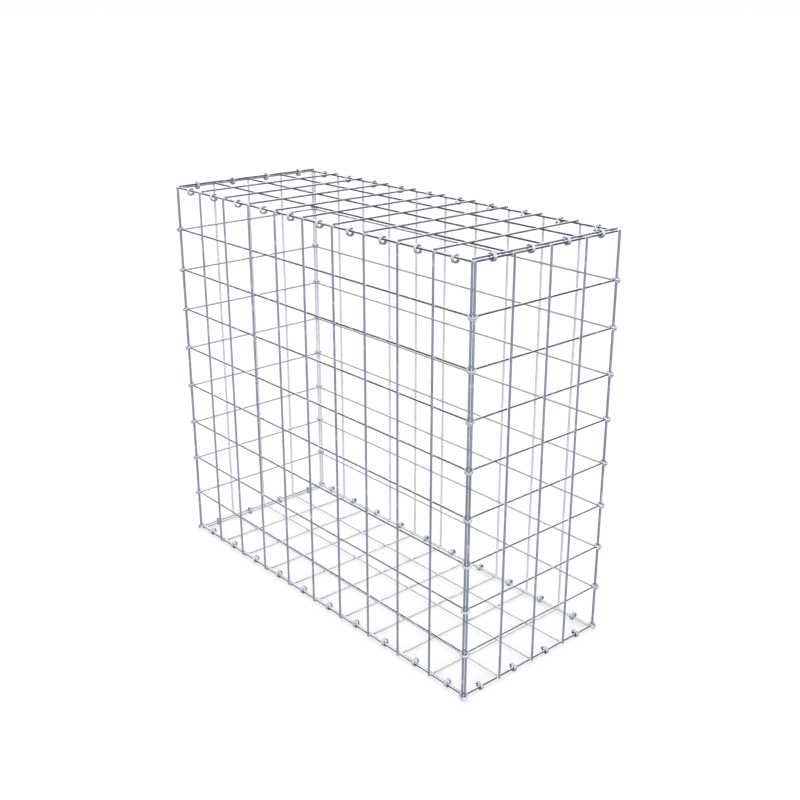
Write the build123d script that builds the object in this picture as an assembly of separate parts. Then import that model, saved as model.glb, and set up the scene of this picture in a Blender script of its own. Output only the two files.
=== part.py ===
from build123d import *
import math
import os

# Closed welded mesh gabion basket: four wall panels, a lid and a base of straight wires,
# tied along every edge by closed C-rings. All sizes are in millimetres.
# X runs along the basket, Y from the front to the back, Z up.

os.makedirs("parts", exist_ok=True)

# Mesh
mesh = 100.0            # centre to centre of neighbouring wires in the walls
long_cells = 10
deep_cells = 4
high_cells = 9

# Wire of the panels: a bar of twelve flats, so that crossing wires seat flat on flat
wire_d = 4.5            # across flats
wire_flats = 12
lid_overhang = 12.0     # the lid's short wires past the back panel's uprights
end_stub = 1.2          # a lid or base wire's end past the centre of the last wire it crosses

# Rings
ring_wire_d = 3.5
ring_play = 1.5         # the inside diameter of a closed ring, over the two uprights of an edge
ring_sides = 8          # flats to one turn
lap_sides = 1           # flats by which the ring's two ends lap
tip_gap = 0.8           # between the two ends, side by side
steepest_tilt = 40      # degrees, the most that a ring on an upright edge may hang down outwards

# Clearances
corner_gap = 1.2        # between the two uprights that meet at an edge
mitre_gap = 0.3         # between the mitred crosswire ends that meet there
seat_gap = 0.1          # between a lid or base wire and the wall's wire beside it
ring_slack = 0.1        # between a ring and the wires it holds

# Where the wires run, measured from the middle of the walls at the lowest crosswires
half_long = mesh * long_cells / 2
half_deep = mesh * deep_cells / 2
height = mesh * high_cells
corner_step = (wire_d + corner_gap) / math.sqrt(2)
upright_x = half_long + corner_step
upright_y = half_deep + corner_step
cross_x = upright_x - wire_d
cross_y = upright_y - wire_d
panel_end_x = cross_x - wire_d / 2 - seat_gap
short_x = panel_end_x - end_stub
long_y = cross_y - wire_d - seat_gap
short_rise = wire_d + seat_gap
long_rise = seat_gap

# How a ring sits
ring_bore = 2 * wire_d + corner_gap + ring_play
ring_mid_r = (ring_bore + ring_wire_d) / 2
ring_reach = (ring_bore - wire_d) / 2 - ring_slack
side_angle = 360 / ring_sides
side_shift = (ring_wire_d + tip_gap) / ring_sides


def spread(count, reach):
    """Evenly spaced places for count + 1 wires, from -reach to reach."""
    return [reach * (2 * i / count - 1) for i in range(count + 1)]


def middles(count, reach):
    """The middle of each of count cells between -reach and reach."""
    return [reach * ((2 * i + 1) / count - 1) for i in range(count)]


def bar(start, direction, length):
    """A straight wire from start, with flats facing the way of every axis."""
    section = RegularPolygon(wire_d / 2, wire_flats, major_radius=False, rotation=180 / wire_flats)
    across = (0, 1, 0) if direction[0] else (1, 0, 0)
    return extrude(Plane(origin=start, x_dir=across, z_dir=direction) * section, amount=length)


def crosswire(half_length, offset, along_x):
    """A wall's crosswire at level 0, both ends cut at 45 degrees where two walls meet."""
    reach = half_length + wire_d
    cut = half_length - mitre_gap / math.sqrt(2)
    if along_x:
        wire = bar((-reach, offset, 0), (1, 0, 0), 2 * reach)
        outward = Vector(0, math.copysign(1, offset), 0)
        run = Vector(1, 0, 0)
    else:
        wire = bar((offset, -reach, 0), (0, 1, 0), 2 * reach)
        outward = Vector(math.copysign(1, offset), 0, 0)
        run = Vector(0, 1, 0)
    for way in (run, -run):
        corner = way * cut + outward * abs(offset)
        wire = split(wire, bisect_by=Plane(origin=corner, z_dir=way - outward), keep=Keep.BOTTOM)
    return wire


def ring_section(k):
    """The four corners of a ring's section at its corner k, round local Z, lap centred on +X."""
    turn = math.radians((k - lap_sides / 2) * side_angle)
    shift = (k - (ring_sides + lap_sides) / 2) * side_shift
    half = ring_wire_d / 2
    corners = []
    for radial, axial in ((-half, -half), (half, -half), (half, half), (-half, half)):
        r = (ring_mid_r + radial) / math.cos(math.radians(side_angle / 2))
        corners.append(Vector(r * math.cos(turn), r * math.sin(turn), shift + axial))
    return corners


def make_ring():
    """A closed C-ring of square wire whose two ends lap side by side."""
    sections = [ring_section(k) for k in range(ring_sides + lap_sides + 1)]
    faces = [Face(Wire.make_polygon(sections[0])), Face(Wire.make_polygon(sections[-1]))]
    for near, far in zip(sections, sections[1:]):
        for i in range(4):
            j = (i + 1) % 4
            if i % 2:
                faces.append(Face(Wire.make_polygon([near[i], near[j], far[j], far[i]])))
            else:
                faces.append(Face(Wire.make_polygon([near[i], near[j], far[j]])))
                faces.append(Face(Wire.make_polygon([near[i], far[j], far[i]])))
    return Solid(Shell(faces))


def ring_middle(wall_wire, panel_wire, toward):
    """The centre of a ring that both wires of an edge touch inside, level and height.

    Of the two such centres it is the one further up for toward = 1, or down for toward = -1."""
    (x1, z1), (x2, z2) = wall_wire, panel_wire
    apart = math.hypot(x2 - x1, z2 - z1)
    offset = math.sqrt(ring_reach ** 2 - (apart / 2) ** 2)
    across = toward * math.copysign(1, x2 - x1) * offset / apart
    return (x1 + x2) / 2 - across * (z2 - z1), (z1 + z2) / 2 + across * (x2 - x1)


def ring_points():
    """Places close together along the edges of a ring, in its own frame."""
    sections = [ring_section(k) for k in range(ring_sides + lap_sides + 1)]
    steps = 12
    places = []
    for near, far in zip(sections, sections[1:]):
        for corner_a, corner_b in zip(near, far):
            for step in range(steps + 1):
                place = corner_a + (corner_b - corner_a) * (step / steps)
                places.append((place.X, place.Y, place.Z))
    return places


def corner_ring_seat():
    """The tilt of a ring on an upright edge, its middle's way inwards from the two uprights, and
    its middle's way up from the crosswires.

    It hangs down outwards, to a whole degree, as steeply as its play round the uprights lets it,
    and its inner side rests on the crosswires."""
    points = ring_points()
    keep_off = wire_d / 2 / math.cos(math.pi / wire_flats) + ring_slack
    pair_half = (wire_d + corner_gap) / 2
    wire_in = math.sqrt(2) * ((half_deep + upright_y) / 2 - cross_y)
    inset_steps = 15
    insets = [ring_play * step / inset_steps for step in range(-inset_steps, inset_steps + 1)]

    def room(tilt, inset):
        run = math.cos(tilt)
        rise = math.sin(tilt)
        apart = [math.hypot(x * run + z * rise - inset, abs(y) - pair_half) for x, y, z in points]
        return min(apart) - keep_off

    for degrees in range(steepest_tilt, -1, -1):
        tilt = math.radians(degrees)
        inset = max(insets, key=lambda choice: room(tilt, choice))
        if room(tilt, inset) > 0:
            break

    lifts = []
    for x, y, z in points:
        inwards = inset - x * math.cos(tilt) - z * math.sin(tilt)
        level = z * math.cos(tilt) - x * math.sin(tilt)
        aside = (inwards - wire_in - abs(y)) / math.sqrt(2)
        if abs(aside) < keep_off:
            lifts.append(math.sqrt(keep_off ** 2 - aside ** 2) - level)
    return tilt, inset, max(lifts)


def placed(ring, centre, tips, axis):
    """The ring with its middle at centre, its lapped ends towards tips, its plane across axis."""
    return Plane(origin=centre, x_dir=tips, z_dir=axis).location * ring


nodes = {}

# Walls: uprights outside, crosswires inside, the uprights cut off flush with the crosswires
wall_foot = -wire_d / 2
wall_rise = height + wire_d
for name, side in (("front", -1), ("back", 1)):
    nodes[name + "_panel_uprights"] = [
        bar((x, side * upright_y, wall_foot), (0, 0, 1), wall_rise) for x in spread(long_cells, half_long)
    ]
    wire = crosswire(cross_x, side * cross_y, True)
    nodes[name + "_panel_crosswires"] = [Pos(0, 0, mesh * k) * wire for k in range(high_cells + 1)]
for name, side in (("left", -1), ("right", 1)):
    nodes[name + "_panel_uprights"] = [
        bar((side * upright_x, y, wall_foot), (0, 0, 1), wall_rise) for y in spread(deep_cells, half_deep)
    ]
    wire = crosswire(cross_y, side * cross_x, False)
    nodes[name + "_panel_crosswires"] = [Pos(0, 0, mesh * k) * wire for k in range(high_cells + 1)]

# Lid: long wires between the walls' top crosswires, short wires on them
lid_short_z = height + short_rise
lid_long_z = height + long_rise
lid_front = -upright_y - wire_d / 2
lid_back = upright_y + wire_d / 2 + lid_overhang
nodes["lid_long_wires"] = [
    bar((-panel_end_x, y, lid_long_z), (1, 0, 0), 2 * panel_end_x) for y in spread(deep_cells, long_y)
]
nodes["lid_short_wires"] = [
    bar((x, lid_front, lid_short_z), (0, 1, 0), lid_back - lid_front) for x in spread(long_cells, short_x)
]

# Base: the same panel turned over, its short wires underneath and cut off flush with the walls
base_end = cross_y + wire_d / 2
nodes["base_long_wires"] = [
    bar((-panel_end_x, y, -long_rise), (1, 0, 0), 2 * panel_end_x) for y in spread(deep_cells, long_y)
]
nodes["base_short_wires"] = [
    bar((x, -base_end, -short_rise), (0, 1, 0), 2 * base_end) for x in spread(long_cells, short_x)
]

# Rings along the lid and the base, one to a cell, lapped ends outside the basket.
# The lid's hang from its wires, and the base's are pushed up against theirs.
ring = make_ring()
for panel, level, up in (("lid", height, 1), ("base", 0, -1)):
    away, drop = ring_middle((cross_y, 0), (long_y, up * long_rise), -up)
    for name, side in (("front", -1), ("back", 1)):
        nodes[panel + "_rings_" + name] = [
            placed(ring, (x, side * away, level + drop), (0, side, 0), (1, 0, 0))
            for x in middles(long_cells, half_long)
        ]
    away, drop = ring_middle((cross_x, 0), (short_x, up * short_rise), -up)
    for name, side in (("left", -1), ("right", 1)):
        nodes[panel + "_rings_" + name] = [
            placed(ring, (side * away, y, level + drop), (side, 0, 0), (0, 1, 0))
            for y in middles(deep_cells, half_deep)
        ]

# Rings on the four upright edges, resting on the crosswires inside and hanging down outside
tilt, inset, lift = corner_ring_seat()
pair_x = (half_long + upright_x) / 2
pair_y = (half_deep + upright_y) / 2
inset_each_way = inset / math.sqrt(2)
for front_back, side_y in (("front", -1), ("back", 1)):
    for left_right, side_x in (("left", -1), ("right", 1)):
        inward = Vector(-side_x, -side_y, 0).normalized()
        tips = inward * -math.cos(tilt) - Vector(0, 0, math.sin(tilt))
        axis = Vector(0, 0, math.cos(tilt)) - inward * math.sin(tilt)
        middle_x = side_x * (pair_x - inset_each_way)
        middle_y = side_y * (pair_y - inset_each_way)
        nodes["corner_rings_" + front_back + "_" + left_right] = [
            placed(ring, (middle_x, middle_y, mesh * k + lift), tips, axis)
            for k in range(high_cells)
        ]

# The basket stands on the floor with the middle of its outline over the origin
outline = Compound([solid for solids in nodes.values() for solid in solids]).bounding_box()
middle = outline.center()
to_floor = Pos(-middle.X, -middle.Y, -outline.min.Z)

for name, solids in nodes.items():
    export_step(Compound(label=name, children=[to_floor * solid for solid in solids]), f"parts/{name}.step")

print("size", outline.size)
print("corner rings: tilt", round(math.degrees(tilt)), "inset", round(inset, 3), "lift", round(lift, 3))
print("walls' middle at y", -round(middle.Y, 3), "lowest crosswires at", -round(outline.min.Z, 3))
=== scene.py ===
# %% [markdown]
# A gabion basket of galvanised welded mesh
#
# A gabion is a wire box that is set in place, filled with stones and closed. This one has four
# mesh walls, a mesh base and a mesh lid, and closed rings of a thinner wire tie all twelve edges.
# The lesson dresses the basket: the construction model says where each wire and ring lies, and the
# cells below give them round sections, cut ends, welds, lapped ring ends and a zinc finish.
#
# The first cell loads the construction model and keeps its parts as meshes whose points are in world
# coordinates.

import math
from dataclasses import dataclass

import bpy
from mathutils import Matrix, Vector


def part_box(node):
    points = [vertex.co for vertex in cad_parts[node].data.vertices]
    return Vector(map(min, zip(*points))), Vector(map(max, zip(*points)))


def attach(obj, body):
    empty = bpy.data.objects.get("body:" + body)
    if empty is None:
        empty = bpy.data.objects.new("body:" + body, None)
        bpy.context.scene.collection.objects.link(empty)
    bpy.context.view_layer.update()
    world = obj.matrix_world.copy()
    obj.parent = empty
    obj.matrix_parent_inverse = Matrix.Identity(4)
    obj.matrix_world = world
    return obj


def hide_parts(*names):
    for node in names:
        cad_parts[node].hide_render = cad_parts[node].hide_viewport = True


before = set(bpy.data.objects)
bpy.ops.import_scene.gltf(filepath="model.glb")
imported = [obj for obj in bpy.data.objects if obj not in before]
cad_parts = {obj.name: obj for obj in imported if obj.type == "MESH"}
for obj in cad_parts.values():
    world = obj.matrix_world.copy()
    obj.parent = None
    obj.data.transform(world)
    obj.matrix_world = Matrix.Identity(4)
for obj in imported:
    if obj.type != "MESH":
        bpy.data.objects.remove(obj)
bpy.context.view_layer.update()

# %% [markdown]
# The camera
#
# The camera comes before anything else, because everything else is seen through it, as in the photograph. It
# is easiest to think of it as a point that it looks at, a direction round that point, a height above the
# horizon and a distance. Blender's lens is given in millimetres for a sensor 36 mm wide, so a focal length
# that was worked out in pixels is scaled by sensor over picture.

# %% Place the camera
PICTURE_SIDE = 800  # pixels
SENSOR_WIDTH = 36.0  # millimetres
CAMERA_AZIMUTH = 48.894  # degrees round the basket, from straight in front towards its right end
CAMERA_ELEVATION = 20.595  # degrees above the horizon
CAMERA_DISTANCE = 2.5083  # metres
FOCAL_LENGTH_PIXELS = 1103.6
LOOK_AT = Vector((0.0706, 0.0, 0.4808))


def direction(azimuth, elevation):
    """The way out from the basket, for degrees round it and degrees above the horizon."""
    turn = math.radians(azimuth)
    rise = math.radians(elevation)
    return Vector((math.sin(turn) * math.cos(rise), -math.cos(turn) * math.cos(rise), math.sin(rise)))


def add_camera():
    outward = direction(CAMERA_AZIMUTH, CAMERA_ELEVATION)
    camera = bpy.data.objects.new("camera", bpy.data.cameras.new("camera"))
    camera.data.sensor_width = SENSOR_WIDTH
    camera.data.lens = FOCAL_LENGTH_PIXELS * SENSOR_WIDTH / PICTURE_SIDE
    camera.location = LOOK_AT + outward * CAMERA_DISTANCE
    camera.rotation_euler = (-outward).to_track_quat("-Z", "Y").to_euler()
    bpy.context.scene.collection.objects.link(camera)
    bpy.context.scene.camera = camera
    return camera


camera = add_camera()
print("lens:", round(camera.data.lens, 2), "mm, camera at", [round(x, 3) for x in camera.location])

# %% [markdown]
# Reading the wires from the frame
#
# Every panel is two rows of straight parallel wires, one row welded across the other. A row can be
# described by very little: the axis that its wires run along, the axis that they are spread along,
# and the box round them. Reading these from the frame, and not writing them again, keeps the
# finished wires where the construction model has them, whatever size the basket has.

# %% Describe a row of wires
X, Y, Z = 0, 1, 2
MESH = 0.1  # metres, the nominal width of a cell
NOWHERE = Vector((0.0, 0.0, 0.0))


def along(axis, amount=1.0):
    """A vector of that amount along one axis."""
    vector = NOWHERE.copy()
    vector[axis] = amount
    return vector


class Row:
    """Straight parallel wires in one plane: they run along one axis and are spread along another."""

    def __init__(self, node, run, spread, mitred=False):
        low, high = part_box(node)
        self.node = node
        self.run = run
        self.spread = spread
        self.across = X + Y + Z - run - spread
        self.diameter = high[self.across] - low[self.across]
        self.radius = self.diameter / 2
        self.level = (low[self.across] + high[self.across]) / 2
        self.first = low[spread] + self.radius
        self.last = high[spread] - self.radius
        self.cells = round((self.last - self.first) / MESH)
        self.cell = (self.last - self.first) / self.cells
        # The box of a mitred wire reaches to its longer side, and the wire's axis ends a radius before
        self.mitred = mitred
        trim = self.radius if mitred else 0.0
        self.start = low[run] + trim
        self.end = high[run] - trim

    def point(self, run_place, number):
        """A point on the axis of one wire of the row."""
        place = NOWHERE.copy()
        place[self.run] = run_place
        place[self.spread] = self.first + self.cell * number
        place[self.across] = self.level
        return place


# %% Read the twelve rows
panels = {}
for wall in ("front", "back", "left", "right"):
    sideways = X if wall in ("front", "back") else Y
    uprights = Row(f"{wall}_panel_uprights", Z, sideways)
    crosswires = Row(f"{wall}_panel_crosswires", sideways, Z, mitred=True)
    panels[wall] = (uprights, crosswires)
for panel in ("lid", "base"):
    panels[panel] = (Row(f"{panel}_long_wires", X, Y), Row(f"{panel}_short_wires", Y, X))

for panel, (one, other) in panels.items():
    print(panel, "cells:", other.cells, "by", one.cells, "wire:", round(one.diameter * 1000, 2), "mm")

# %% [markdown]
# The ends of the lid's short wires
#
# The lid's short wires are cut off over the middle of the walls' top crosswires. The construction
# model has them a little longer at both ends, so this row alone doesn't keep its whole length. The
# wires' number, spacing and height stay, and so do their welds.

# %% Cut the lid's short wires
lid_short_wires = panels["lid"][1]
modelled_length = lid_short_wires.end - lid_short_wires.start
lid_short_wires.start = panels["front"][1].level
lid_short_wires.end = panels["back"][1].level
cut_length = lid_short_wires.end - lid_short_wires.start
print("lid's short wires, mm:", round(modelled_length * 1000, 1), "cut to", round(cut_length * 1000, 1))

# %% [markdown]
# Writing node trees as Python
#
# The same two small classes serve the geometry and the materials. Graph adds a node from its
# type, its settings and what goes into its sockets. Socket stands for what comes out of a node, and
# it overloads the arithmetic operators, so that a sum of two sockets adds the Math node for it.
# The reflected forms, such as __rsub__, are what makes 1 - mask work, where the number comes first.

# %% Sockets and graphs
class Socket:
    """What comes out of a node."""

    def __init__(self, graph, link):
        self.graph = graph
        self.link = link

    def __add__(self, other):
        return self.graph.math("ADD", self, other)

    def __sub__(self, other):
        return self.graph.math("SUBTRACT", self, other)

    def __rsub__(self, other):
        return self.graph.math("SUBTRACT", other, self)

    def __mul__(self, other):
        return self.graph.math("MULTIPLY", self, other)

    def __truediv__(self, other):
        return self.graph.math("DIVIDE", self, other)

    def __rtruediv__(self, other):
        return self.graph.math("DIVIDE", other, self)

    def __gt__(self, other):
        return self.graph.math("GREATER_THAN", self, other)

    __radd__ = __add__
    __rmul__ = __mul__


class Graph:
    """Adds nodes to one tree and links them."""

    def __init__(self, tree):
        self.tree = tree

    def add(self, kind, settings=None, sockets=None):
        """Adds a node. Its settings come first, because they decide which sockets it has."""
        node = self.tree.nodes.new(kind)
        for name, value in (settings or {}).items():
            setattr(node, name, value)
        for key, value in (sockets or {}).items():
            target = node.inputs[key] if isinstance(key, int) else self.named(node.inputs, key)
            if isinstance(value, Socket):
                self.tree.links.new(value.link, target)
            else:
                target.default_value = value
        return node

    def out(self, kind, settings=None, sockets=None, name=None):
        """Adds a node and gives one of its outputs, the first one in use if no name is given."""
        node = self.add(kind, settings, sockets)
        if name is None:
            return Socket(self, next(s for s in node.outputs if s.enabled))
        return Socket(self, self.named(node.outputs, name))

    @staticmethod
    def named(sockets, name):
        """The socket of that name that is in use: some nodes keep unused ones under the same name."""
        return next(s for s in sockets if s.name == name and s.enabled)

    def math(self, operation, *values):
        return self.out("ShaderNodeMath", {"operation": operation}, dict(enumerate(values)))

    def vector_math(self, operation, *values, name=None):
        return self.out("ShaderNodeVectorMath", {"operation": operation}, dict(enumerate(values)), name)


test = Graph(bpy.data.node_groups.new("test", "GeometryNodeTree"))
print("nodes for 1 - 2 * index:", len((1 - 2 * test.out("GeometryNodeInputIndex")).graph.tree.nodes))
bpy.data.node_groups.remove(test.tree)

# %% [markdown]
# Geometry trees
#
# A Geometry Nodes tree gets named inputs, so that one tree serves every row of its kind. Some
# steps come in every tree here, and each is a method: points in a line, a curve whose points are
# placed by their number, round wire swept along a curve, a turn towards given directions, and a
# number stored on the geometry for its material to read.

# %% A geometry tree's inputs, shared steps and end
SHARP_ANGLE = math.radians(32)  # edges that turn further than this are shaded as edges


class GeometryGraph(Graph):
    """A Geometry Nodes tree with named inputs and one geometry output."""

    def __init__(self, name):
        super().__init__(bpy.data.node_groups.new(name, "GeometryNodeTree"))
        self.entry = self.tree.nodes.new("NodeGroupInput")

    def input(self, name, kind):
        self.tree.interface.new_socket(name, in_out="INPUT", socket_type=f"NodeSocket{kind}")
        return Socket(self, self.entry.outputs[name])

    def scaled(self, vector, amount):
        """A vector times a number."""
        return self.out("ShaderNodeVectorMath", {"operation": "SCALE"}, {0: vector, "Scale": amount})

    def points(self, count, first, step):
        """Points in a straight line."""
        settings = {"mode": "OFFSET", "count_mode": "TOTAL"}
        sockets = {"Count": count, "Start Location": first, "Offset": step}
        return self.out("GeometryNodeMeshLine", settings, sockets)

    def curve(self, count, place):
        """A curve of that many points, each at a place that depends on its number."""
        line = self.out("GeometryNodeCurvePrimitiveLine", {"mode": "POINTS"})
        line = self.out("GeometryNodeResampleCurve", {"mode": "COUNT"}, {"Curve": line, "Count": count})
        return self.out("GeometryNodeSetPosition", {}, {"Geometry": line, "Position": place})

    def swept(self, line, diameter, sides):
        """Round wire along a curve."""
        sockets = {"Resolution": sides, "Radius": diameter / 2}
        circle = self.out("GeometryNodeCurvePrimitiveCircle", {"mode": "RADIUS"}, sockets)
        sockets = {"Curve": line, "Profile Curve": circle, "Fill Caps": True}
        return self.out("GeometryNodeCurveToMesh", {}, sockets)

    def facing(self, axis, sideways):
        """The turn that takes Z to one direction, and X as near as it can to another."""
        settings = {"primary_axis": "Z", "secondary_axis": "X"}
        sockets = {"Primary Axis": axis, "Secondary Axis": sideways}
        return self.out("FunctionNodeAxesToRotation", settings, sockets)

    def stored(self, geometry, name, value, domain="POINT"):
        """The geometry with a named number on each of its points or instances."""
        settings = {"data_type": "FLOAT", "domain": domain}
        sockets = {"Geometry": geometry, "Name": name, "Value": value}
        return self.out("GeometryNodeStoreNamedAttribute", settings, sockets)

    def toned(self, instances, seed):
        """The instances with a random tone from 0 to 1 on each, for the zinc to read."""
        tone = self.out("FunctionNodeRandomValue", {"data_type": "FLOAT"}, {"Seed": seed})
        return self.stored(instances, "tone", tone, "INSTANCE")

    def finish(self, geometry, material):
        """Ends the tree: instances become real geometry, which then gets its material."""
        self.tree.interface.new_socket("Geometry", in_out="OUTPUT", socket_type="NodeSocketGeometry")
        real = self.out("GeometryNodeRealizeInstances", {}, {"Geometry": geometry})
        rounded = self.out("GeometryNodeSetShadeSmooth", {"domain": "FACE"}, {"Geometry": real})
        angle = self.out("GeometryNodeInputMeshEdgeAngle", name="Unsigned Angle")
        sockets = {"Geometry": rounded, "Selection": angle > SHARP_ANGLE, "Shade Smooth": False}
        sharp = self.out("GeometryNodeSetShadeSmooth", {"domain": "EDGE"}, sockets)
        ended = self.out("GeometryNodeSetMaterial", {}, {"Geometry": sharp, "Material": material})
        self.add("NodeGroupOutput", {}, {"Geometry": ended})
        print(self.tree.name, "tree:", len(self.tree.nodes), "nodes")
        return self.tree


# %% [markdown]
# Running a tree
#
# A modifier knows a tree's inputs by their identifiers, and they are set before the object is
# evaluated for the first time. The result is then kept as a plain mesh and the modifier goes,
# because the pieces have to be meshes that carry their own place.

# %% A tree's result as a mesh
pieces = []


def grow(name, tree, values):
    """Runs a tree with these inputs and keeps what it makes as a mesh piece on the one body."""
    piece = bpy.data.objects.new(name, bpy.data.meshes.new(name))
    bpy.context.scene.collection.objects.link(piece)
    modifier = piece.modifiers.new("rule", "NODES")
    modifier.node_group = tree
    for item in tree.interface.items_tree:
        if item.in_out == "INPUT":
            modifier[item.identifier] = values[item.name]
    depsgraph = bpy.context.evaluated_depsgraph_get()
    mesh = bpy.data.meshes.new_from_object(
        piece.evaluated_get(depsgraph), preserve_all_data_layers=True, depsgraph=depsgraph
    )
    piece.modifiers.remove(modifier)
    piece.data = mesh
    mesh.name = name
    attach(piece, "root")
    pieces.append(piece)
    print(name, len(mesh.polygons), "faces")
    return piece


# %% [markdown]
# The zinc
#
# Galvanised wire is steel under a thin skin of zinc. Seen close, the skin has faint crystals of a
# few millimetres, called spangle, fine lines along the wire from the die that it was drawn
# through, duller patches where the zinc has begun to weather, and a scorched spot at each weld.
# All of these could be painted in an image, but a procedural material has them at their true
# size on every wire, however long. It is part metal and part matt, because weathered zinc
# scatters light as well as mirroring it.

# %% A material's graph
def opaque(colour):
    """Red, green and blue as the four numbers that a colour socket takes."""
    return (*colour, 1.0)


class MaterialGraph(Graph):
    """The node tree of a new material, with one surface shader."""

    def __init__(self, name):
        self.material = bpy.data.materials.new(name)
        self.material.use_nodes = True
        super().__init__(self.material.node_tree)
        self.tree.nodes.clear()

    def noise(self, place, per_metre, detail=2.0, roughness=0.5):
        """Cloudy values round one half, with features of one over per_metre metres."""
        sockets = {"Vector": place, "Scale": per_metre, "Detail": detail, "Roughness": roughness}
        return self.out("ShaderNodeTexNoise", {}, sockets, "Fac")

    def between(self, value, low, high):
        """0 at low and before it, and 1 from high on, with a smooth passage. low may be the larger."""
        settings = {"interpolation_type": "SMOOTHSTEP", "clamp": True}
        return self.out("ShaderNodeMapRange", settings, {"Value": value, "From Min": low, "From Max": high})

    def blend(self, share, colour_a, colour_b):
        """The first colour where the share is 0 and the second where it is 1."""
        settings = {"data_type": "RGBA", "clamp_factor": True}
        return self.out("ShaderNodeMix", settings, {"Factor": share, "A": colour_a, "B": colour_b})

    def attribute(self, name):
        """A number that the geometry's own tree stored on it."""
        return self.out("ShaderNodeAttribute", {"attribute_name": name}, {}, "Fac")

    def end(self, shader):
        self.add("ShaderNodeOutputMaterial", {}, {"Surface": shader})
        print(self.material.name, "material:", len(self.tree.nodes), "nodes")
        return self.material


# %% [markdown]
# The marks on zinc
#
# Each kind of mark is a number over the surface, and most come from noise of a size of their own.
# The drawn lines need to know which way the wire runs, so the noise behind them is squeezed along
# that axis by a Mapping node, and each direction of wire has a material of its own. The scorching
# reads how near a weld is, and is broken up into specks.
#
# The upper sides of wires get painted light, which makes them paler as if lit from above, and the undersides
# get painted shade. Both follow the upward part of the normal, and the clouds make their borders ragged. The
# inside of a ring gets painted shade, because little light gets in between it and the wires that it holds.

# %% Where each mark is
CLOUDS_PER_METRE = 22.0
SPANGLE_PER_METRE = 320.0
LINES_PER_METRE = 2600.0
LUMPS_PER_METRE = 260.0
BLOOM_PER_METRE = 60.0
SPECKS_PER_METRE = 700.0
DRAWN_SQUEEZE = 0.03  # along the wire, which makes the drawn lines 33 times as long as they are wide
BLOOM_FROM, BLOOM_FULL = 0.56, 0.72  # of the noise behind the weathered patches
SPECKS_FROM, SPECKS_FULL = 0.35, 0.6
SCORCH_REACH, SCORCH_CORE = 0.0065, 0.0020  # metres from a weld's middle
# Painted top light and painted underside shade, both by the upward part of the normal
PAINTED_TOP_LIGHT_FROM, PAINTED_TOP_LIGHT_FULL = 0.60, 0.90  # upward part of the normal
SHADED_FROM, SHADED_FULL = 0.05, -0.55
RAGGEDNESS = 0.3  # by which the clouds move those two borders
# Painted shade inside the rings, by how far a point lies inside
INSIDE_FROM, INSIDE_FULL = -0.75, 0.35  # from -1 on the outside of a ring to 1 on its inside


class ZincGraph(MaterialGraph):
    """A material's graph that has each kind of mark on zinc, and the painted top light and shade, as a number
    over the surface.
    """

    def __init__(self, name, run):
        super().__init__(name)
        place = self.out("ShaderNodeTexCoord", name="Object")
        self.clouds = self.noise(place, CLOUDS_PER_METRE, detail=3.0)
        self.lumps = self.noise(place, LUMPS_PER_METRE)
        crystal = self.out("ShaderNodeTexVoronoi", {}, {"Vector": place, "Scale": SPANGLE_PER_METRE}, "Color")
        self.spangle = self.out("ShaderNodeSeparateColor", {}, {"Color": crystal}, "Red")

        squeeze = Vector((1.0, 1.0, 1.0))
        if run is not None:
            squeeze[run] = DRAWN_SQUEEZE
        drawn_place = self.out("ShaderNodeMapping", {}, {"Vector": place, "Scale": squeeze})
        self.lines = self.noise(drawn_place, LINES_PER_METRE, detail=3.0, roughness=0.7)

        patches = self.noise(place, BLOOM_PER_METRE, detail=5.0, roughness=0.65)
        self.bloom = self.between(patches, BLOOM_FROM, BLOOM_FULL)
        specks = self.noise(place, SPECKS_PER_METRE, detail=4.0)
        weld_near = self.between(self.attribute("weld_near"), SCORCH_REACH, SCORCH_CORE)
        self.scorch = weld_near * self.between(specks, SPECKS_FROM, SPECKS_FULL)

        # Painted light on the upper sides and painted shade on the undersides, by the normal
        normal = self.out("ShaderNodeTexCoord", name="Normal")
        upward = self.out("ShaderNodeSeparateXYZ", {}, {"Vector": normal}, "Z")
        upward = upward + (self.clouds - 0.5) * RAGGEDNESS
        self.painted_top_light = self.between(upward, PAINTED_TOP_LIGHT_FROM, PAINTED_TOP_LIGHT_FULL)
        self.shaded = self.between(upward, SHADED_FROM, SHADED_FULL)
        # Painted shade inside the rings
        self.inside = self.between(self.attribute("inside"), INSIDE_FROM, INSIDE_FULL)


print("spangle, mm:", 1000 / SPANGLE_PER_METRE, "clouds, mm:", round(1000 / CLOUDS_PER_METRE, 1))

# %% [markdown]
# The finish
#
# A wire's finish starts from two tones of zinc. The share between them is a sum of small effects:
# broad clouds, the spangle, and a tone of its own for each wire, which its tree stores as an
# attribute. Then come the painted light on the tops, the painted shade on the undersides and inside the
# rings, the weathered bloom and the scorched welds. Roughness and metalness follow the same masks, because a
# bloom is matt as well as pale.
# The lines and the lumps of the zinc are the relief of a Bump node.

# %% The finish of galvanised wire
TONE_BY = {"clouds": 1.2, "spangle": 0.35, "wire": 0.3}
ROUGHER_BY = {"spangle": 0.08, "lines": 0.16, "bloom": 0.22, "scorch": 0.2}
LESS_METAL_BY = {"bloom": 0.3, "scorch": 0.2}
# How far the painted shade darkens the undersides
SHADED_SHARE = 0.75
BLOOM_SHARE = 0.5
SCORCH_SHARE = 0.15
# The colour of the painted top light
PAINTED_TOP_LIGHT_COLOUR = opaque((0.72, 0.74, 0.78))
# The colour of the painted shade, on the undersides and inside the rings
SHADED_COLOUR = opaque((0.05, 0.05, 0.06))
BLOOM_COLOUR = opaque((0.74, 0.76, 0.80))
SCORCH_COLOUR = opaque((0.30, 0.29, 0.29))
LINE_DEPTH = 0.00002  # metres
LUMP_DEPTH = 0.00012
SPECULAR_LEVEL = 0.2


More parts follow.
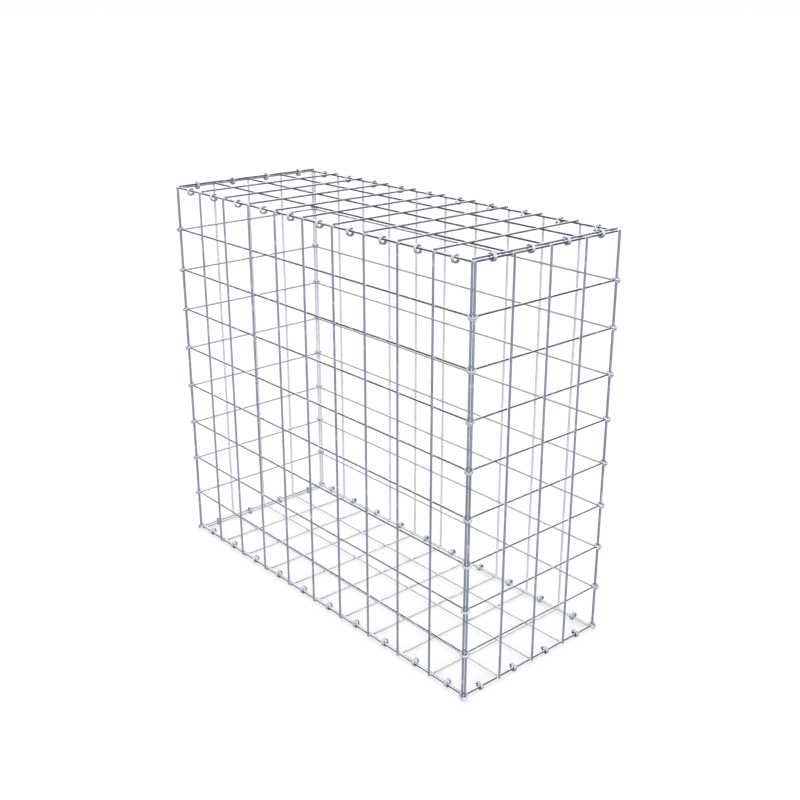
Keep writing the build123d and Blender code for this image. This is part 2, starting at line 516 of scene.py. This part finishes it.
@dataclass
class Coat:
    """How zinc looks on one kind of wire, with light and shade painted in: two tones, and numbers from 0 to
    1.
    """

    deep: tuple
    pale: tuple
    metal: float
    roughness: float
    # How much painted top light makes the tops pale
    painted_top_light: float  # how pale the tops are
    # How much painted shade darkens a ring's inside
    inside: float = 0.0  # how dark a ring's inside is


def zinc(name, run, coat):
    """Zinc on wire that runs along an axis, or on bent wire if run is None."""
    graph = ZincGraph(name, run)
    tone = 0.5 + (graph.clouds - 0.5) * TONE_BY["clouds"] + (graph.spangle - 0.5) * TONE_BY["spangle"]
    tone = tone + (graph.attribute("tone") - 0.5) * TONE_BY["wire"]
    colour = graph.blend(tone, opaque(coat.deep), opaque(coat.pale))
    # Painted top light on the upper sides
    colour = graph.blend(graph.painted_top_light * coat.painted_top_light, colour, PAINTED_TOP_LIGHT_COLOUR)
    # Painted shade on the undersides
    colour = graph.blend(graph.shaded * SHADED_SHARE, colour, SHADED_COLOUR)
    # Painted shade inside the rings
    colour = graph.blend(graph.inside * coat.inside, colour, SHADED_COLOUR)
    colour = graph.blend(graph.bloom * BLOOM_SHARE, colour, BLOOM_COLOUR)
    colour = graph.blend(graph.scorch * SCORCH_SHARE, colour, SCORCH_COLOUR)

    rough = coat.roughness + (graph.spangle - 0.5) * ROUGHER_BY["spangle"]
    rough = rough + (graph.lines - 0.5) * ROUGHER_BY["lines"]
    rough = rough + graph.bloom * ROUGHER_BY["bloom"] + graph.scorch * ROUGHER_BY["scorch"]
    metal = coat.metal - graph.bloom * LESS_METAL_BY["bloom"] - graph.scorch * LESS_METAL_BY["scorch"]

    relief = graph.lines * LINE_DEPTH + graph.lumps * LUMP_DEPTH
    relief = graph.out("ShaderNodeBump", {}, {"Height": relief, "Strength": 1.0, "Distance": 1.0}, "Normal")
    return graph.end(graph.out("ShaderNodeBsdfPrincipled", {}, {
        "Base Color": colour,
        "Roughness": rough,
        "Metallic": metal,
        "Normal": relief,
        "Specular IOR Level": SPECULAR_LEVEL,
    }))


# %% [markdown]
# The coats
#
# On the real basket all the wires are probably alike. In the photograph they aren't: the front and right
# uprights are a mid blue-grey, the crosswires and the lid are darker, and the back and left panels and the
# base are pale. Part of that is light, and part is the picture's own contrast, which lamps can't give. So
# each of these groups has a coat of its own, with that light, shade and contrast painted into its colour:
# painted shade makes the crosswires and the lid darker, and painted light makes the far panels and the base
# pale. A coat belongs to a panel and a direction of wire, wherever the camera stands. The rings are of a
# brighter wire.

# %% Mix the coats
# Light and shade are painted into these colours: paler for the far panels and the base, darker for the
# crosswires and the lid
COATS = {
    "upright": Coat((0.16, 0.183, 0.235), (0.26, 0.293, 0.37), metal=0.35, roughness=0.53, painted_top_light=0.3),
    "crosswire": Coat((0.035, 0.038, 0.05), (0.078, 0.084, 0.105), metal=0.10, roughness=0.36, painted_top_light=1.0),
    "lid_short_wire": Coat(
        (0.085, 0.097, 0.125), (0.155, 0.175, 0.215), metal=0.10, roughness=0.36, painted_top_light=1.0
    ),
    "far_upright": Coat((0.57, 0.565, 0.61), (0.71, 0.705, 0.755), metal=0.05, roughness=0.45, painted_top_light=0.3),
    "far_crosswire": Coat((0.325, 0.34, 0.36), (0.455, 0.47, 0.50), metal=0.10, roughness=0.40, painted_top_light=1.0),
    "base_wire": Coat((0.50, 0.50, 0.51), (0.66, 0.66, 0.68), metal=0.10, roughness=0.40, painted_top_light=1.0),
    "ring": Coat((0.46, 0.49, 0.56), (0.62, 0.65, 0.74), metal=0.15, roughness=0.32, painted_top_light=0.3, inside=0.65),
    "corner_ring": Coat(
        (0.50, 0.53, 0.60), (0.66, 0.69, 0.78), metal=0.15, roughness=0.32, painted_top_light=0.3, inside=0.35
    ),
    # Painted highlight: the welds are pale for the light spots where the wires cross
    "weld": Coat((0.62, 0.64, 0.69), (0.76, 0.78, 0.84), metal=0.05, roughness=0.50, painted_top_light=0.3),
}
COATED_RUNS = {
    "upright": (Z,),
    "crosswire": (X, Y),
    "lid_short_wire": (Y,),
    "far_upright": (Z,),
    "far_crosswire": (X, Y),
    "base_wire": (X, Y),
}
coated = {}
for coat, runs in COATED_RUNS.items():
    for run in runs:
        coated[coat, run] = zinc(f"zinc_{coat}_along_{'xyz'[run]}", run, COATS[coat])
ring_zinc = zinc("zinc_ring", None, COATS["ring"])
corner_ring_zinc = zinc("zinc_corner_ring", None, COATS["corner_ring"])
weld_zinc = zinc("zinc_weld", None, COATS["weld"])

# %% [markdown]
# A row of wires
#
# One wire is a curve with a round profile swept along it. It could be a cylinder, but a curve
# carries more with it: its points lie at the welds and half way between them, so an attribute that
# is 0 at a weld grows evenly towards the middle of the cell, and the material reads from it how
# near a weld is. The wire's first and last points get a smaller radius, which bevels the cut end.
#
# Where two walls meet, their crosswires are mitred. A shear does that: near its ends each point
# moves along the wire by as much as it lies outwards of the wire's middle, which turns a square end
# into one at 45 degrees and leaves the rest of the round surface as it was.
#
# The wire is then placed on a line of points, one for each wire of the row.

# %% The tree of a row of wires
WIRE_SIDES = 16
END_BEVEL = 0.00035  # metres, length of the bevel on a cut end
END_SHARE = 0.82  # radius of the cut face, as a share of the wire's


def wire_row_tree():
    graph = GeometryGraph("row of wires")
    wires = graph.input("Wires", "Int")
    first = graph.input("First End", "Vector")
    step = graph.input("Step", "Vector")
    run = graph.input("Run", "Vector")
    length = graph.input("Length", "Float")
    first_weld = graph.input("First Weld", "Float")
    cell = graph.input("Cell", "Float")
    cells = graph.input("Cells", "Int")
    diameter = graph.input("Diameter", "Float")
    outward = graph.input("Mitre Outward", "Vector")
    seed = graph.input("Seed", "Int")
    material = graph.input("Material", "Material")

    # Points of one wire: its end, its bevel, each weld and half cell, the other bevel, the other end
    last_index = cells * 2 + 4
    index = graph.out("GeometryNodeInputIndex")
    place = graph.math("MAXIMUM", first_weld + (index - 2) * cell / 2, index * END_BEVEL)
    place = graph.math("MINIMUM", place, length - (last_index - index) * END_BEVEL)
    line = graph.curve(last_index + 1, graph.scaled(run, place))

    at_end = (0.5 - index > 0) + (index - last_index + 0.5 > 0)
    radius = 1 - at_end * (1 - END_SHARE)
    line = graph.out("GeometryNodeSetCurveRadius", {}, {"Curve": line, "Radius": radius})
    line = graph.stored(line, "weld_near", graph.math("PINGPONG", place - first_weld, cell / 2))
    wire = graph.swept(line, diameter, WIRE_SIDES)

    # The mitre
    here = graph.out("GeometryNodeInputPosition")
    from_middle = graph.vector_math("DOT_PRODUCT", here, run, name="Value") - length / 2
    near_end = graph.math("ABSOLUTE", from_middle) > length / 2 - cell / 4
    aside = graph.vector_math("DOT_PRODUCT", here, outward, name="Value")
    shear = graph.scaled(run, near_end * aside * graph.math("SIGN", from_middle))
    wire = graph.out("GeometryNodeSetPosition", {}, {"Geometry": wire, "Offset": shear})

    sockets = {"Points": graph.points(wires, first, step), "Instance": wire}
    placed = graph.out("GeometryNodeInstanceOnPoints", {}, sockets)
    return graph.finish(graph.toned(placed, seed), material)


wire_tree = wire_row_tree()

# %% [markdown]
# Each row takes the place of its node in the frame. The welds along its wires are where the wires
# of the panel's other row cross it, so the two rows of a panel are made together.

# %% Grow the twelve rows of wires
FAR_PANELS = ("back", "left")


def coat_of(panel, run):
    """The name of the coat on a panel's wires along an axis."""
    if panel == "base":
        return "base_wire"
    if panel == "lid" and run == Y:
        return "lid_short_wire"
    coat = "upright" if run == Z else "crosswire"
    return f"far_{coat}" if panel in FAR_PANELS else coat


def grow_row(panel, row, other, seed):
    """The finished wires of a row that is welded to another."""
    piece = grow(f"{row.node}_round", wire_tree, {
        "Wires": row.cells + 1,
        "First End": row.point(row.start, 0),
        "Step": along(row.spread, row.cell),
        "Run": along(row.run),
        "Length": row.end - row.start,
        "First Weld": other.first - row.start,
        "Cell": other.cell,
        "Cells": other.cells,
        "Diameter": row.diameter,
        "Mitre Outward": along(row.across, math.copysign(1.0, row.level)) if row.mitred else NOWHERE,
        "Seed": seed,
        "Material": coated[coat_of(panel, row.run), row.run],
    })
    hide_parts(row.node)


for seed, (panel, (one, other)) in enumerate(panels.items()):
    grow_row(panel, one, other, seed)
    grow_row(panel, other, one, seed + len(panels))

# %% [markdown]
# The welds
#
# Mesh panels are welded by pressing two crossing wires together between electrodes. A little
# metal squeezes out and freezes as a flat collar in the gap. It is modelled as a squashed ball
# between the two wires, a few dozen faces only, because there are hundreds of them. Random scales
# and a little noise keep them from looking stamped from one mould.

# %% The tree of a panel's welds
WELD_RADIUS = 0.0037  # metres
WELD_THICKNESS = 0.0020
WELD_LEAST = Vector((WELD_RADIUS * 0.9, WELD_RADIUS * 0.9, WELD_THICKNESS * 0.4))
WELD_MOST = Vector((WELD_RADIUS * 1.1, WELD_RADIUS * 1.1, WELD_THICKNESS * 0.6))
WELD_SEGMENTS = 10
WELD_RINGS = 6
WELD_LUMP_DEPTH = 0.0005
WELD_LUMPS_PER_METRE = 330.0


def weld_tree():
    graph = GeometryGraph("welds of a panel")
    count_a = graph.input("Count A", "Int")
    count_b = graph.input("Count B", "Int")
    corner = graph.input("Corner", "Vector")
    step_a = graph.input("Step A", "Vector")
    step_b = graph.input("Step B", "Vector")
    normal = graph.input("Normal", "Vector")
    seed = graph.input("Seed", "Int")
    material = graph.input("Material", "Material")

    # A point at every crossing: the crossings along one wire, repeated on every wire
    starts = graph.points(count_a, corner, step_a)
    one_wire = graph.points(count_b, NOWHERE, step_b)
    crossings = graph.out("GeometryNodeInstanceOnPoints", {}, {"Points": starts, "Instance": one_wire})
    crossings = graph.out("GeometryNodeRealizeInstances", {}, {"Geometry": crossings})

    sockets = {"Segments": WELD_SEGMENTS, "Rings": WELD_RINGS, "Radius": 1.0}
    ball = graph.out("GeometryNodeMeshUVSphere", {}, sockets, "Mesh")
    sockets = {"Min": WELD_LEAST, "Max": WELD_MOST, "Seed": seed}
    scale = graph.out("FunctionNodeRandomValue", {"data_type": "FLOAT_VECTOR"}, sockets, "Value")
    turn = graph.facing(normal, step_a)
    sockets = {"Points": crossings, "Instance": ball, "Rotation": turn, "Scale": scale}
    welds = graph.toned(graph.out("GeometryNodeInstanceOnPoints", {}, sockets), seed)

    # Lumps, which need the balls as real geometry
    welds = graph.out("GeometryNodeRealizeInstances", {}, {"Geometry": welds})
    here = graph.out("GeometryNodeInputPosition")
    lumps = graph.out("ShaderNodeTexNoise", {}, {"Vector": here, "Scale": WELD_LUMPS_PER_METRE}, "Color")
    push = graph.vector_math("SUBTRACT", lumps, (0.5, 0.5, 0.5))
    push = graph.vector_math("MULTIPLY", push, (WELD_LUMP_DEPTH, WELD_LUMP_DEPTH, WELD_LUMP_DEPTH))
    welds = graph.out("GeometryNodeSetPosition", {}, {"Geometry": welds, "Offset": push})
    return graph.finish(welds, material)


weld_maker = weld_tree()

# %% Grow the welds of the six panels
for seed, (panel, (one, other)) in enumerate(panels.items()):
    corner = one.point(other.first, 0)
    corner[one.across] = (one.level + other.level) / 2
    piece = grow(f"{panel}_welds", weld_maker, {
        "Count A": one.cells + 1,
        "Count B": other.cells + 1,
        "Corner": corner,
        "Step A": along(one.spread, one.cell),
        "Step B": along(other.spread, other.cell),
        "Normal": along(one.across),
        "Seed": seed,
        "Material": weld_zinc,
    })

# %% [markdown]
# The rings
#
# Each edge of the basket is tied by C-shaped rings, squeezed shut with pliers until their two ends
# pass each other and lap side by side. A ring is again a curve: a piece of a helix, whose points
# come from the sine and cosine of their number along it. It goes round by one turn and its lap,
# which makes nearly two turns along the lid and the base, and rather more than one and a half on
# the upright edges. The pitch of a turn is one wire and a small gap, so that the lapped turns lie
# beside each other. No fitter closes two rings alike, so each is turned a little by a random
# amount with a fixed seed.

# %% The tree of a row of rings
RING_POINTS = 57
RING_SIDES = 10
RING_TIP_SHARE = 0.6  # radius of a ring's cut end, as a share of its wire's
FULL_TURN = 2 * math.pi


def ring_row_tree():
    graph = GeometryGraph("row of rings")
    rings = graph.input("Rings", "Int")
    first = graph.input("First", "Vector")
    step = graph.input("Step", "Vector")
    tips = graph.input("Tips", "Vector")
    axis = graph.input("Axis", "Vector")
    radius = graph.input("Radius", "Float")
    diameter = graph.input("Wire", "Float")
    lap = graph.input("Lap", "Float")
    gap = graph.input("Tip Gap", "Float")
    play = graph.input("Play", "Vector")
    seed = graph.input("Seed", "Int")
    material = graph.input("Material", "Material")

    share = graph.out("GeometryNodeInputIndex") / (RING_POINTS - 1)
    whole = lap + FULL_TURN
    angle = share * whole - lap / 2
    line = graph.curve(RING_POINTS, graph.out("ShaderNodeCombineXYZ", {}, {
        "X": graph.math("COSINE", angle) * radius,
        "Y": graph.math("SINE", angle) * radius,
        "Z": (share - 0.5) * (diameter + gap) * whole / FULL_TURN,
    }))
    to_tip = 0.5 - graph.math("ABSOLUTE", share - 0.5)
    at_tip = 0.5 / RING_POINTS - to_tip > 0
    tip_radius = 1 - at_tip * (1 - RING_TIP_SHARE)
    line = graph.out("GeometryNodeSetCurveRadius", {}, {"Curve": line, "Radius": tip_radius})
    line = graph.stored(line, "weld_near", to_tip * whole * radius)
    ring = graph.swept(line, diameter, RING_SIDES)
    # Where each point lies across the ring's wire, for the painted shade on its inside
    from_axis = graph.vector_math("MULTIPLY", graph.out("GeometryNodeInputPosition"), (1.0, 1.0, 0.0))
    outside = (graph.vector_math("LENGTH", from_axis, name="Value") - radius) / (diameter / 2)
    ring = graph.stored(ring, "inside", 0 - outside)

    points = graph.points(rings, first, step)
    sockets = {"Points": points, "Instance": ring, "Rotation": graph.facing(axis, tips)}
    placed = graph.out("GeometryNodeInstanceOnPoints", {}, sockets)
    least = graph.vector_math("MULTIPLY", play, (-1.0, -1.0, -1.0))
    sockets = {"Min": least, "Max": play, "Seed": seed}
    turned = graph.out("FunctionNodeRandomValue", {"data_type": "FLOAT_VECTOR"}, sockets, "Value")
    sockets = {"Instances": placed, "Rotation": turned, "Local Space": True}
    placed = graph.out("GeometryNodeRotateInstances", {}, sockets)
    return graph.finish(graph.toned(placed, seed), material)


ring_tree = ring_row_tree()

# %% [markdown]
# Two kinds of ring
#
# All the rings are bent from the same wire to the same bore. Those along the lid and the base lap further and
# hang more freely. Those on the upright edges are held by four wires, so they turn less, and they have the
# coat with less painted shade inside.

# %% Describe the rings
RING_WIRE = 0.0035  # metres
RING_BORE = 0.0117  # the inside diameter of a closed ring
RING_SLACK = 0.0001  # between a ring and the wires that it holds
RING_TIP_GAP = 0.0008  # between the turns where they lap


@dataclass
class RingKind:
    lap: float  # radians that it goes on past one turn
    play: Vector  # the most that it turns by chance, round its tips' axis, the one across it and its own
    material: bpy.types.Material


def ring_kind(lap, play, material):
    """A kind of ring, from degrees."""
    return RingKind(math.radians(lap), Vector([math.radians(angle) for angle in play]), material)


edge_ring = ring_kind(300, (5, 5, 12), ring_zinc)
corner_ring = ring_kind(210, (1, 1, 8), corner_ring_zinc)


def grow_rings(node, kind, count, first, step, tips, axis, seed):
    """The finished rings of one edge, from the place of the first and the step to the next."""
    piece = grow(f"{node}_round", ring_tree, {
        "Rings": count,
        "First": first,
        "Step": step,
        "Tips": tips,
        "Axis": axis,
        "Radius": (RING_BORE + RING_WIRE) / 2,
        "Wire": RING_WIRE,
        "Lap": kind.lap,
        "Tip Gap": RING_TIP_GAP,
        "Play": kind.play,
        "Seed": seed,
        "Material": kind.material,
    })
    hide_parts(node)


print("a ring's outside diameter, mm:", round((RING_BORE + 2 * RING_WIRE) * 1000, 1))

# %% [markdown]
# The rings along the lid and the base
#
# Such a ring holds two wires side by side: the wall's last crosswire and the outermost wire of the
# panel. It hangs from them, so both wires touch it inside, which fixes its middle: each wire's
# middle is the same distance from it. There is one ring in the middle of each cell.

# %% Grow the rings along the lid and the base
def ring_middle(wall_wire, panel_wire, wire_radius, toward):
    """The centre of a ring that both wires touch inside, as (level, height).

    Of the two such centres it is the upper one for toward = 1 and the lower one for -1."""
    (x1, z1), (x2, z2) = wall_wire, panel_wire
    reach = RING_BORE / 2 - wire_radius - RING_SLACK
    apart = math.hypot(x2 - x1, z2 - z1)
    offset = math.sqrt(reach ** 2 - (apart / 2) ** 2)
    across = toward * math.copysign(1.0, x2 - x1) * offset / apart
    return (x1 + x2) / 2 - across * (z2 - z1), (z1 + z2) / 2 + across * (x2 - x1)


def grow_edge_rings(panel, wall, seed):
    """The rings that tie one wall to the lid or to the base."""
    up = 1 if panel == "lid" else -1
    side = 1 if wall in ("back", "right") else -1
    uprights, crosswires = panels[wall]
    beside = panels[panel][0] if wall in ("front", "back") else panels[panel][1]
    wall_wire = (crosswires.level, crosswires.last if up > 0 else crosswires.first)
    panel_wire = (beside.last if side > 0 else beside.first, beside.level)
    level, height = ring_middle(wall_wire, panel_wire, crosswires.radius, -up)
    first = along(Z, height)
    first[uprights.across] = level
    first[uprights.spread] = uprights.first + uprights.cell / 2
    grow_rings(
        f"{panel}_rings_{wall}",
        edge_ring,
        uprights.cells,
        first=first,
        step=along(uprights.spread, uprights.cell),
        tips=along(uprights.across, side),
        axis=along(uprights.spread),
        seed=seed,
    )


edges = [(panel, wall) for panel in ("lid", "base") for wall in ("front", "back", "left", "right")]
for seed, (panel, wall) in enumerate(edges):
    grow_edge_rings(panel, wall, seed)

# %% [markdown]
# The rings on the upright edges
#
# Here a ring holds the two uprights of the edge. It rests on the two crosswires inside the basket,
# one ring at each level but the top one, and hangs down at an angle outside. How steeply, and
# where its middle then is, was found in the construction model from the clearance in its bore.

# %% Grow the rings on the upright edges
CORNER_TILT = math.radians(30)  # by which a ring hangs down outwards
CORNER_INSET = -0.0002  # metres, its middle, inwards of the two uprights
CORNER_LIFT = 0.00152  # metres, its middle, above the crosswires that it rests on


def grow_corner_rings(long_wall, end_wall, seed):
    """The rings on the upright edge between a long wall and an end wall."""
    long_uprights, crosswires = panels[long_wall]
    end_uprights = panels[end_wall][0]
    side_x = 1 if end_wall == "right" else -1
    side_y = 1 if long_wall == "back" else -1
    pair_x = ((long_uprights.last if side_x > 0 else long_uprights.first) + end_uprights.level) / 2
    pair_y = ((end_uprights.last if side_y > 0 else end_uprights.first) + long_uprights.level) / 2
    inward = Vector((-side_x, -side_y, 0.0)).normalized()
    grow_rings(
        f"corner_rings_{long_wall}_{end_wall}",
        corner_ring,
        crosswires.cells,
        first=Vector((pair_x, pair_y, crosswires.first + CORNER_LIFT)) + inward * CORNER_INSET,
        step=along(Z, crosswires.cell),
        tips=inward * -math.cos(CORNER_TILT) - along(Z, math.sin(CORNER_TILT)),
        axis=along(Z, math.cos(CORNER_TILT)) - inward * math.sin(CORNER_TILT),
        seed=seed,
    )


corners = [(long_wall, end_wall) for long_wall in ("front", "back") for end_wall in ("left", "right")]
for seed, (long_wall, end_wall) in enumerate(corners, start=len(edges)):
    grow_corner_rings(long_wall, end_wall, seed)

# %% [markdown]
# The floor and the world
#
# A basket of thin wire has very little surface, so the ground behind it decides how it reads. The
# floor is a wide disc, and the world round it is plain. The Light Path node makes both look white
# to the camera and in reflections, and lets them light the basket only as a dark room would, which
# keeps the undersides of the wires dark. Most of the floor's white is its own and the rest is lit,
# so that it still takes the basket's shadow, but softly.

# %% Floor and world
FLOOR_RADIUS = 60.0  # metres
FLOOR_SIDES = 64
FLOOR_SEEN = 0.95  # grey of the lit floor to the camera
FLOOR_GLOW = 0.7  # share of its own white in what the camera sees of it
FLOOR_BOUNCE = 0.10  # grey of the floor to the light that it throws back
WORLD_AMBIENT = 0.03
WHITE = 1.0


def grey(level):
    """A grey for a colour socket."""
    return opaque((level, level, level))


def seen_rays(graph):
    """1 for what the camera sees directly, in a reflection or through glass, and 0 for other light."""
    path = graph.add("ShaderNodeLightPath")
    shares = [Socket(graph, path.outputs[f"Is {kind} Ray"]) for kind in ("Camera", "Glossy", "Transmission")]
    return graph.math("MINIMUM", shares[0] + shares[1] + shares[2], 1.0)


def add_floor():
    graph = MaterialGraph("studio_floor")
    lit = graph.out("ShaderNodeBsdfDiffuse", {}, {"Color": grey(FLOOR_SEEN)})
    glow = graph.out("ShaderNodeEmission", {}, {"Color": grey(WHITE), "Strength": 1.0})
    shown = graph.out("ShaderNodeMixShader", {}, {0: FLOOR_GLOW, 1: lit, 2: glow})
    bounce = graph.out("ShaderNodeBsdfDiffuse", {}, {"Color": grey(FLOOR_BOUNCE)})
    material = graph.end(graph.out("ShaderNodeMixShader", {}, {0: seen_rays(graph), 1: bounce, 2: shown}))

    mesh = bpy.data.meshes.new("floor")
    angles = [FULL_TURN * k / FLOOR_SIDES for k in range(FLOOR_SIDES)]
    rim = [(FLOOR_RADIUS * math.cos(angle), FLOOR_RADIUS * math.sin(angle), 0.0) for angle in angles]
    mesh.from_pydata(rim, [], [list(range(FLOOR_SIDES))])
    mesh.materials.append(material)
    floor = bpy.data.objects.new("floor", mesh)
    bpy.context.scene.collection.objects.link(floor)


def add_world():
    world = bpy.data.worlds.new("studio")
    world.use_nodes = True
    bpy.context.scene.world = world
    world.node_tree.nodes.clear()
    graph = Graph(world.node_tree)
    strength = WORLD_AMBIENT + seen_rays(graph) * (1 - WORLD_AMBIENT)
    shader = graph.out("ShaderNodeBackground", {}, {"Color": grey(WHITE), "Strength": strength})
    graph.add("ShaderNodeOutputWorld", {}, {"Surface": shader})
    print("world:", len(world.node_tree.nodes), "nodes")


add_floor()
add_world()

# %% [markdown]
# The lamps
#
# Three lamps far away light the basket: a broad one straight above, which gives the pale tops and
# the dark undersides, a smaller one beside the camera, low down, which brings out the round
# section of the uprights, and a soft, weaker one behind, so that the basket reads from the other
# side as well. Their directions are measured from the camera's, and stay where they are when
# another view is rendered.

# %% Lamps
def add_lamp(name, level, elevation, aside, across):
    """A lamp far away, which at level 1 shows a white card as white.

    It stands so many degrees above the horizon and to the right of the camera, and looks so many
    degrees across from the basket."""
    lamp = bpy.data.objects.new(name, bpy.data.lights.new(name, "SUN"))
    lamp.data.energy = level * math.pi
    lamp.data.angle = math.radians(across)
    lamp.rotation_euler = direction(CAMERA_AZIMUTH + aside, elevation).to_track_quat("Z", "Y").to_euler()
    bpy.context.scene.collection.objects.link(lamp)


add_lamp("overhead_lamp", level=0.85, elevation=90.0, aside=0.0, across=60.0)
add_lamp("front_lamp", level=1.0, elevation=15.0, aside=3.0, across=20.0)
add_lamp("back_lamp", level=0.5, elevation=20.0, aside=180.0, across=60.0)
bpy.context.scene.view_settings.view_transform = "Standard"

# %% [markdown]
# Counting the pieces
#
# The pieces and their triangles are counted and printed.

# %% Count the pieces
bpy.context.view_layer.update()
triangles = sum(len(p.vertices) - 2 for piece in pieces for p in piece.data.polygons)
print("pieces:", len(pieces), "triangles:", triangles)
